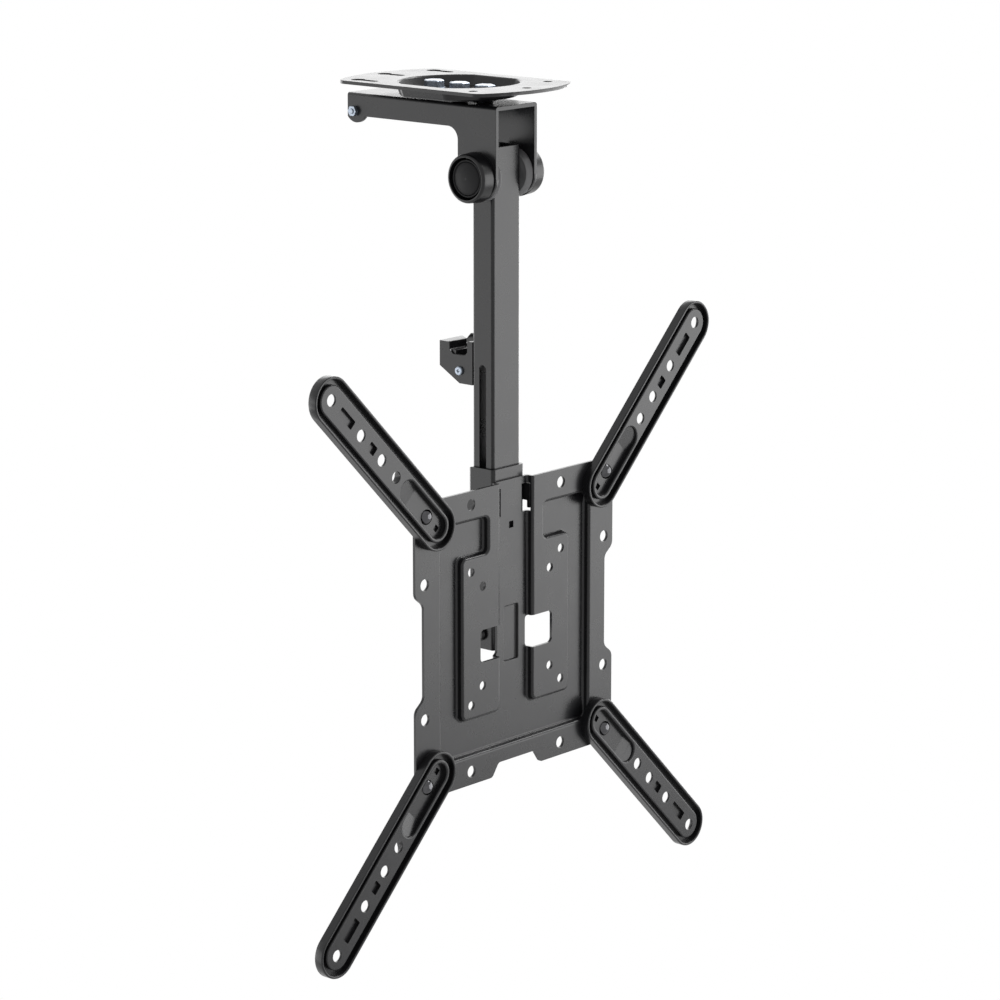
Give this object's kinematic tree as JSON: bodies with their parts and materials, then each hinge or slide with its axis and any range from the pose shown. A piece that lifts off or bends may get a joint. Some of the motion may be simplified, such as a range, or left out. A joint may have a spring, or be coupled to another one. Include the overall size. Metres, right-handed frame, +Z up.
{
  "type": "folding ceiling tv mount",
  "caption": "Ceiling screen mount: slotted plate, swivel bracket, column that folds up at a friction pivot, height sleeve, and screen plate with swing-out arms.",
  "frame": {"origin": "swivel axis at the ceiling plate's top face", "axes": "+X to the right seen from the screen side, +Y to the rear, +Z up; the screen faces -Y"},
  "size_m": [0.4332, 0.167, 0.6128],
  "materials": {
    "black_coat": "fine-textured satin powder coat on pressed steel",
    "zinc": "bright zinc plating, faintly blue",
    "black_plastic": "smooth moulded nylon with a soft shine"
  },
  "bodies": {
    "ceiling_base": {"ceiling_plate": "black_coat", "swivel_bolts": "zinc", "swivel_washers": "zinc", "swivel_spacers": "black_plastic", "swivel_nuts": "zinc"},
    "bracket": {"swivel_bracket": "black_coat", "catch_bolt": "zinc", "catch_nut": "zinc", "pivot_bolt": "zinc", "pivot_nut": "zinc", "pivot_cup_left": "black_plastic", "pivot_cup_right": "black_plastic", "pivot_cap_left": "black_plastic", "pivot_cap_right": "black_plastic", "friction_disc_left": "black_plastic", "friction_disc_right": "black_plastic"},
    "column": {"column_tube": "black_coat", "latch_bracket": "black_coat", "latch_screw": "zinc", "latch_sleeve": "zinc", "latch_nut": "zinc"},
    "carriage": {"height_sleeve": "black_coat", "sleeve_saddle": "black_coat", "height_bolt": "black_coat", "height_nut": "zinc", "vesa_plate": "black_coat", "arm_screws": "zinc", "arm_nuts": "zinc"},
    "swing_upper_left": {"arm_upper_left": "black_coat"},
    "swing_upper_right": {"arm_upper_right": "black_coat"},
    "swing_lower_left": {"arm_lower_left": "black_coat"},
    "swing_lower_right": {"arm_lower_right": "black_coat"}
  },
  "joints": [
    {"name": "swivel", "type": "hinge", "parent": "ceiling_base", "child": "bracket", "pos_m": [0, 0, -0.0125], "axis": [0, 0, 1], "range_deg": [-15, 15]},
    {"name": "fold", "type": "hinge", "parent": "bracket", "child": "column", "pos_m": [0, -0.0352, -0.0642], "axis": [1, 0, 0], "range_deg": [0, 90]},
    {"name": "height", "type": "slide", "parent": "column", "child": "carriage", "axis": [0, 0, 1], "range_m": [0, 0.055]},
    {"name": "arm_upper_left_swing", "type": "hinge", "parent": "carriage", "child": "swing_upper_left", "pos_m": [-0.1, -0.055, -0.2962], "axis": [0, 1, 0], "range_deg": [-45, 45]},
    {"name": "arm_upper_right_swing", "type": "hinge", "parent": "carriage", "child": "swing_upper_right", "pos_m": [0.1, -0.055, -0.2962], "axis": [0, 1, 0], "range_deg": [-45, 45]},
    {"name": "arm_lower_left_swing", "type": "hinge", "parent": "carriage", "child": "swing_lower_left", "pos_m": [-0.1, -0.055, -0.4962], "axis": [0, 1, 0], "range_deg": [-45, 45]},
    {"name": "arm_lower_right_swing", "type": "hinge", "parent": "carriage", "child": "swing_lower_right", "pos_m": [0.1, -0.055, -0.4962], "axis": [0, 1, 0], "range_deg": [-45, 45]}
  ]
}
